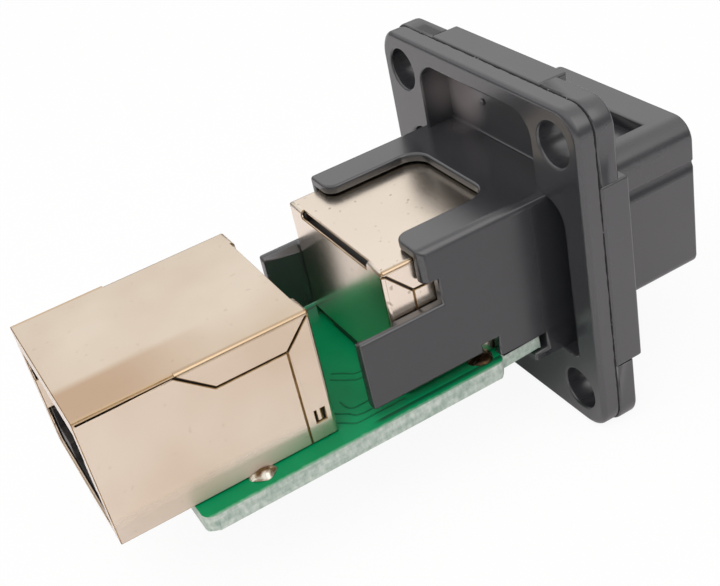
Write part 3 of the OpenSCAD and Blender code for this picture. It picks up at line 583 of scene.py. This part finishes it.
def laminate_board(mask, laminate):
    """The board with its masked faces, and its outer edge cut into torn plies of glass cloth."""
    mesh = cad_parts["circuit_board"].data.copy()
    build = bmesh.new()
    build.from_mesh(mesh)
    bmesh.ops.remove_doubles(build, verts=build.verts, dist=BOARD_WELD * MM)
    bmesh.ops.delete(build, geom=[f for f in build.faces if f.normal.z < 0.5], context="FACES")

    def on_rim(edge):
        x, y, _ = (edge.verts[0].co + edge.verts[1].co) / (2 * MM)
        at_end = y < BOARD_FRONT + RIM_FRONT or y > BOARD_REAR - RIM_REAR
        return edge.is_boundary and (abs(x) > RIM_X or at_end)

    for edge in [e for e in build.edges if on_rim(e)]:
        cuts = math.ceil(edge.calc_length() / (EDGE_PITCH * MM)) - 1
        for k in range(cuts):
            edge, _ = bmesh.utils.edge_split(edge, edge.verts[0], 1 / (cuts + 1 - k))
    top_faces = list(build.faces)
    rim = [e for e in build.edges if on_rim(e)]
    outward = {}
    for edge in rim:
        loop = edge.link_loops[0]
        run = loop.link_loop_next.vert.co - loop.vert.co
        side = Vector((run.y, -run.x, 0)).normalized()
        for vert in edge.verts:
            outward[vert] = outward.get(vert, Vector()) + side
    copied = bmesh.ops.duplicate(build, geom=top_faces + build.edges[:] + build.verts[:])
    below = copied["vert_map"]
    lowered = [f for f in copied["geom"] if isinstance(f, bmesh.types.BMFace)]
    bmesh.ops.reverse_faces(build, faces=lowered)
    for vert in {v for f in lowered for v in f.verts}:
        vert.co.z -= BOARD_THICK * MM

    columns = {}
    for vert, side in outward.items():
        side.normalize()
        x, y = vert.co.x / MM, vert.co.y / MM
        place = vert.co.copy()
        column = [vert]
        for k in range(1, EDGE_LAYERS):
            column.append(build.verts.new(place - Vector((0, 0, BOARD_THICK * MM * k / EDGE_LAYERS))))
        column.append(below[vert])
        for k, point in enumerate(column):
            back, up = tear(x, y, k / EDGE_LAYERS)
            point.co -= (side * back - Vector((0, 0, up))) * MM
        columns[vert] = column
    for edge in {e for f in top_faces for e in f.edges if len(e.link_faces) == 1}:
        loop = edge.link_loops[0]
        first, last = loop.vert, loop.link_loop_next.vert
        if first in columns and last in columns:
            one, two = columns[first], columns[last]
            for k in range(EDGE_LAYERS):
                face = build.faces.new((two[k], one[k], one[k + 1], two[k + 1]))
                face.material_index = 1
                face.smooth = True
        else:
            build.faces.new((last, first, below[first], below[last]))
    mesh.materials.clear()
    mesh.materials.append(mask)
    mesh.materials.append(laminate)
    build.to_mesh(mesh)
    build.free()
    return new_object("laminate_board", mesh)


def node_tree(name, **sizes):
    """A geometry tree with a geometry input, a named number for each size, and a geometry output."""
    tree = bpy.data.node_groups.new(name, "GeometryNodeTree")
    tree.interface.new_socket("Geometry", in_out="INPUT", socket_type="NodeSocketGeometry")
    for size in sizes:
        tree.interface.new_socket(size.replace("_", " "), in_out="INPUT", socket_type="NodeSocketFloat")
    tree.interface.new_socket("Geometry", in_out="OUTPUT", socket_type="NodeSocketGeometry")
    return tree, add(tree, "NodeGroupInput").outputs


def grow(name, points, edges, tree, **sizes):
    """A piece that a geometry tree makes from points and lines, all in millimetres."""
    mesh = bpy.data.meshes.new(name)
    mesh.from_pydata([[v * MM for v in point] for point in points], edges, [])
    made = new_object(name, mesh)
    growth = made.modifiers.new("tree", "NODES")
    growth.node_group = tree
    for socket in tree.interface.items_tree:
        key = socket.name.replace(" ", "_")
        if socket.in_out == "INPUT" and key in sizes:
            growth[socket.identifier] = sizes[key] * MM
    return plain_mesh(made)


def end_tree(tree, geometry, finish):
    """Ends a geometry tree in plain geometry of one finish."""
    real = add(tree, "GeometryNodeRealizeInstances", {"Geometry": geometry})
    dressed = add(tree, "GeometryNodeSetMaterial", {
        "Geometry": real.outputs["Geometry"], "Material": finish})
    add(tree, "NodeGroupOutput", {"Geometry": dressed.outputs["Geometry"]})


def traces(name, lines, height, finish):
    """Flat copper traces along lines of X and Y, at that height on the board."""
    tree, sizes = node_tree(name, Width=0, Thickness=0, Bend=0)
    path = add(tree, "GeometryNodeMeshToCurve", {"Mesh": sizes["Geometry"]})
    bent = add(tree, "GeometryNodeFilletCurve", {
        "Curve": path.outputs["Curve"], "Radius": sizes["Bend"], "Count": 4}, mode="POLY")
    level = add(tree, "GeometryNodeSetCurveNormal", {"Curve": bent.outputs["Curve"]}, mode="Z_UP")
    section = add(tree, "GeometryNodeCurvePrimitiveQuadrilateral", {
        "Width": sizes["Width"], "Height": sizes["Thickness"]})
    strip = add(tree, "GeometryNodeCurveToMesh", {
        "Curve": level.outputs["Curve"], "Profile Curve": section.outputs["Curve"], "Fill Caps": True})
    end_tree(tree, strip.outputs["Mesh"], finish)
    points, edges = [], []
    for line in lines:
        start = len(points)
        points += [(x, y, height) for x, y in line]
        edges += [(k, k + 1) for k in range(start, len(points) - 1)]
    return grow(name, points, edges, tree, Width=0.16, Thickness=0.05, Bend=0.35)


def pads(name, places, height, radius, finish):
    """Round copper pads at places of X and Y, half sunk in the board's face at that height."""
    tree, sizes = node_tree(name, Radius=0, Thickness=0)
    disc = add(tree, "GeometryNodeMeshCylinder", {
        "Vertices": 32, "Radius": sizes["Radius"], "Depth": sizes["Thickness"]})
    placed = add(tree, "GeometryNodeInstanceOnPoints", {
        "Points": sizes["Geometry"], "Instance": disc.outputs["Mesh"]})
    end_tree(tree, placed.outputs["Instances"], finish)
    return grow(name, [(x, y, height) for x, y in places], [], tree, Radius=radius, Thickness=0.07)


def solder_fillets(name, places, height, finish):
    """Hollow-sided solder cones that climb from the board's underside onto each tail."""
    tree, sizes = node_tree(name, Foot=0, Tip=0, Climb=0)
    down = add(tree, "ShaderNodeMath", {0: sizes["Climb"], 1: -1.0}, operation="MULTIPLY")
    end = add(tree, "ShaderNodeCombineXYZ", {"Z": down.outputs[0]})
    line = add(tree, "GeometryNodeCurvePrimitiveLine", {"End": end.outputs["Vector"]})
    steps = add(tree, "GeometryNodeResampleCurve", {"Curve": line.outputs["Curve"], "Count": 9})
    share = add(tree, "GeometryNodeSplineParameter")
    left = add(tree, "ShaderNodeMath", {0: 1.0, 1: share.outputs["Factor"]}, operation="SUBTRACT")
    hollow = add(tree, "ShaderNodeMath", {0: left.outputs[0], 1: 2.6}, operation="POWER")
    width = add(tree, "ShaderNodeMapRange", {
        "Value": hollow.outputs[0], "To Min": sizes["Tip"], "To Max": sizes["Foot"]})
    ring = add(tree, "GeometryNodeCurvePrimitiveCircle", {"Resolution": 24, "Radius": 1.0})
    cone = add(tree, "GeometryNodeCurveToMesh", {
        "Curve": steps.outputs["Curve"], "Profile Curve": ring.outputs["Curve"],
        "Scale": width.outputs["Result"], "Fill Caps": True})
    smooth = add(tree, "GeometryNodeSetShadeSmooth", {"Geometry": cone.outputs["Mesh"]})
    placed = add(tree, "GeometryNodeInstanceOnPoints", {
        "Points": sizes["Geometry"], "Instance": smooth.outputs["Geometry"]})
    end_tree(tree, placed.outputs["Instances"], finish)
    return grow(name, [(x, y, height) for x, y in places], [], tree, Foot=0.74, Tip=0.3, Climb=0.6)


def ring_path():
    """Corners of a closed line round the flange's parting line, and its edges."""
    points = []
    for k in range(4 * RING_STEPS):
        angle = math.tau * (k + 0.5) / (4 * RING_STEPS)
        x, z = math.cos(angle), math.sin(angle)
        points.append((math.copysign(PARTING_X - PARTING_R, x) + PARTING_R * x, PARTING_Y,
                       math.copysign(PARTING_Z - PARTING_R, z) + PARTING_R * z))
    return points, [(k, (k + 1) % len(points)) for k in range(len(points))]


def seam_path():
    """The ends of the upright seams beside the shields' back flaps, and the lines between them."""
    points = [(side * SEAM_X, y, z) for y in SEAM_Y for side in (-1, 1) for z in (BOARD_TOP, SEAM_TOP)]
    return points, [(k, k + 1) for k in range(0, len(points), 2)]


def bead(name, path, thin, thick, finish):
    """A thin bead along a path, that swells and thins out between two radii."""
    tree, sizes = node_tree(name, Step=0, Thin=0, Thick=0)
    line = add(tree, "GeometryNodeMeshToCurve", {"Mesh": sizes["Geometry"]})
    steps = add(tree, "GeometryNodeResampleCurve", {
        "Curve": line.outputs["Curve"], "Length": sizes["Step"]}, mode="LENGTH")
    swell = add(tree, "ShaderNodeTexNoise", {"Scale": per_mm(0.9), "Detail": 3})
    width = add(tree, "ShaderNodeMapRange", {
        "Value": swell.outputs["Fac"], "From Min": 0.4, "From Max": 0.62,
        "To Min": sizes["Thin"], "To Max": sizes["Thick"]})
    ring = add(tree, "GeometryNodeCurvePrimitiveCircle", {"Resolution": 6, "Radius": 1.0})
    tube = add(tree, "GeometryNodeCurveToMesh", {
        "Curve": steps.outputs["Curve"], "Profile Curve": ring.outputs["Curve"],
        "Scale": width.outputs["Result"]})
    end_tree(tree, tube.outputs["Mesh"], finish)
    return grow(name, *path, tree, Step=0.12, Thin=thin, Thick=thick)


def flash_chips(name, finish):
    """Small torn chips of flash, here and there on the parting line."""
    tree, sizes = node_tree(name, Step=0, Chip=0)
    path = add(tree, "GeometryNodeMeshToCurve", {"Mesh": sizes["Geometry"]})
    dots = add(tree, "GeometryNodeCurveToPoints", {
        "Curve": path.outputs["Curve"], "Length": sizes["Step"]}, mode="LENGTH")
    lump = add(tree, "GeometryNodeMeshIcoSphere", {"Radius": sizes["Chip"], "Subdivisions": 2})
    rough = add(tree, "ShaderNodeTexNoise", {"Scale": per_mm(0.05)}, noise_dimensions="3D")
    push = add(tree, "ShaderNodeVectorMath", {
        0: rough.outputs["Color"], 1: (-0.5, -0.5, -0.5)}, operation="ADD")
    jag = add(tree, "ShaderNodeVectorMath", {
        0: push.outputs["Vector"], "Scale": sizes["Chip"]}, operation="SCALE")
    torn = add(tree, "GeometryNodeSetPosition", {
        "Geometry": lump.outputs["Mesh"], "Offset": jag.outputs["Vector"]})
    chosen = add(tree, "FunctionNodeRandomValue", {"Probability": 0.12, "Seed": 7}, data_type="BOOLEAN")
    sized = add(tree, "FunctionNodeRandomValue", {
        "Min": (0.4, 0.3, 0.4), "Max": (1.3, 0.9, 1.3), "Seed": 11}, data_type="FLOAT_VECTOR")
    placed = add(tree, "GeometryNodeInstanceOnPoints", {
        "Points": dots.outputs["Points"], "Selection": chosen.outputs[3],
        "Instance": torn.outputs["Geometry"], "Scale": sized.outputs[0]})
    end_tree(tree, placed.outputs["Instances"], finish)
    return grow(name, *ring_path(), tree, Step=0.45, Chip=0.06)


def lumpy_solder(node, name, finish):
    """A solder joint with the rounded, uneven skin of tin that froze by itself."""
    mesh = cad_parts[node].data.copy()
    made = new_object(name, mesh)
    skin = made.modifiers.new("skin", "REMESH")
    skin.mode = "VOXEL"
    skin.voxel_size = SKIN_PITCH * MM
    flow = made.modifiers.new("flow", "SMOOTH")
    flow.iterations = 5
    plain_mesh(made)
    normals = [v.normal.copy() for v in made.data.vertices]
    for vert, normal in zip(made.data.vertices, normals):
        vert.co += normal * LUMP_HEIGHT * MM * noise.noise(vert.co / (LUMP_BREADTH * MM))
    for face in made.data.polygons:
        face.use_smooth = True
    made.data.materials.clear()
    made.data.materials.append(finish)
    return made


def place_camera():
    data = bpy.data.cameras.new("photo_camera")
    data.sensor_fit = "HORIZONTAL"
    data.sensor_width = SENSOR
    data.lens = LENS
    data.clip_start = 1 * MM
    made = bpy.data.objects.new("photo_camera", data)
    bpy.context.scene.collection.objects.link(made)
    turned = Matrix((CAMERA_RIGHT, CAMERA_UP, CAMERA_BACK)).transposed().to_4x4()
    turned.translation = Vector(CAMERA_PLACE) * MM
    made.matrix_world = turned
    bpy.context.scene.camera = made


def softbox(name, place, size, power, mirrored=True):
    """A square area lamp, in metres, that faces the part, and that shiny pieces mirror or don't."""
    data = bpy.data.lights.new(name, "AREA")
    data.size = size
    data.energy = power
    data.color = colour("#fff6f2")[:3]
    made = bpy.data.objects.new(name, data)
    made.location = place
    made.rotation_euler = (Vector(LAMP_TARGET) - Vector(place)).to_track_quat("-Z", "Y").to_euler()
    made.visible_glossy = mirrored
    bpy.context.scene.collection.objects.link(made)


def light_studio():
    world = bpy.data.worlds.new("studio")
    bpy.context.scene.world = world
    world.use_nodes = True
    tree = world.node_tree
    tree.nodes.clear()
    fill = add(tree, "ShaderNodeBackground", {"Color": colour("#f2f5ff"), "Strength": 0.35})
    # What shines back from the pieces: a bright ceiling over walls that are dimmer near the table
    way = add(tree, "ShaderNodeTexCoord")
    climb = add(tree, "ShaderNodeSeparateXYZ", {"Vector": way.outputs["Generated"]})
    walls = add(tree, "ShaderNodeMapRange", {
        "Value": climb.outputs["Z"], "From Min": 0.2, "From Max": 0.52, "To Min": 0.3},
        interpolation_type="SMOOTHSTEP")
    seen = add(tree, "ShaderNodeLightPath")
    level = add(tree, "ShaderNodeMath", {
        0: walls.outputs["Result"], 1: seen.outputs["Is Camera Ray"]}, operation="MAXIMUM")
    white = add(tree, "ShaderNodeBackground", {
        "Color": colour("#ffffff"), "Strength": level.outputs[0]})
    mix = add(tree, "ShaderNodeMixShader", {
        0: background_rays(tree, 1, 1), 1: fill.outputs[0], 2: white.outputs[0]})
    add(tree, "ShaderNodeOutputWorld", {"Surface": mix.outputs[0]})
    # Mirrored over the bright ceiling, the key would turn the nickel roofs white from above
    softbox("key", (-0.12, 0.30, 0.66), 0.8, 5.0, mirrored=False)
    softbox("side", (-0.42, -0.12, 0.5), 0.5, 0.7)
    softbox("back", (0.58, -0.24, 0.41), 0.8, 0.5)
    bpy.ops.mesh.primitive_plane_add(size=3, location=(0, 0, FLOOR_Z))
    floor = bpy.context.object
    floor.name = "paper_floor"
    floor.data.materials.append(white_floor())
    bpy.context.scene.view_settings.view_transform = "Standard"


place_camera()
light_studio()

plastic = moulded_nylon()
nickel = nickel_sheet()
worn = worn_nickel()
mask = solder_mask()
laminate = cut_laminate()
copper = masked_copper()
solder = tin_solder("hand_soldered_tin", 0.36, 0.56, "#7d6346")
# The front tab's joint is darker: partly more brown flux, partly painted shade from the cage's wall above
# it
fluxed_and_shaded = tin_solder("tin_under_flux", 0.52, 0.8, "#54402c")
gold = gold_plate()
insulator = dark_insulator()

housing = rounded_copy("housing", "moulded_housing", [plastic], *ROUNDING["housing"])
dress(housing, "housing_plastic", "housing")
# The near-black bead along the parting line is painted shade in its gap; the pale chips are torn flash
parting_shade_flash = nylon_flash("dark_nylon_flash", "#0c0c0d", "#1c1c1d")
dress(bead("parting_bead", ring_path(), *PARTING_BEAD, parting_shade_flash), "housing_plastic")
dress(bead("seam_tarnish", seam_path(), *SEAM_BEAD, worn), "shield_nickel")
torn_flash = nylon_flash("torn_nylon_flash", "#8d8a88", "#c9c6c2")
dress(flash_chips("parting_chips", torn_flash), "housing_plastic")
dress(laminate_board(mask, laminate), "board_laminate", "circuit_board")
tails = {}
for jack in JACKS:
    node = jack + "_jack_shield"
    shield = rounded_copy(node, jack + "_folded_shield", [nickel, worn], *ROUNDING["shield"])
    dress(shield, "shield_nickel", node)
    for kind in ("jack_body", "contact_carrier"):
        node = f"{jack}_{kind}"
        piece = rounded_copy(node, f"{jack}_moulded_{kind}", [insulator], *ROUNDING["insulator"])
        dress(piece, "insulator_plastic", node)
    for i in range(1, CONTACTS + 1):
        node = f"{jack}_contact_{i}"
        piece = rounded_copy(node, f"{jack}_spring_contact_{i}", [gold], *ROUNDING["contact"])
        dress(piece, "contact_gold", node)
    node = jack + "_shield_solder"
    joint = lumpy_solder(node, jack + "_tab_solder", fluxed_and_shaded if jack == "front" else solder)
    dress(joint, "solder", node)
    # Tails stand in two rows by turns, and the rear jack is turned round
    turn = 1 if jack == "front" else -1
    middle = (CONTACTS + 1) / 2
    tails[jack] = [(turn * (i - middle) * CONTACT_PITCH, TAIL_ROWS[jack][(i + 1) % 2])
                   for i in range(1, CONTACTS + 1)]
    fillets = solder_fillets(jack + "_tail_fillets", tails[jack], BOARD_UNDER, solder)
    dress(fillets, "solder", jack + "_pin_solder")
    dress(pads(jack + "_tail_pads", tails[jack], BOARD_UNDER, TAIL_PAD_R, solder), "solder")
    tabs = [(side * TAB_X, TAB_Y[jack]) for side in (-1, 1)]
    dress(pads(jack + "_tab_pads", tabs, BOARD_UNDER, TAB_PAD_R, solder), "solder")

dress(traces("upper_traces", UPPER_TRACES, BOARD_TOP, copper), "board_laminate")
under = [[(x, y), (x, far_y)]
         for (x, y), (_, far_y) in zip(tails["front"], reversed(tails["rear"]))]
dress(traces("lower_traces", under, BOARD_UNDER, copper), "board_laminate")
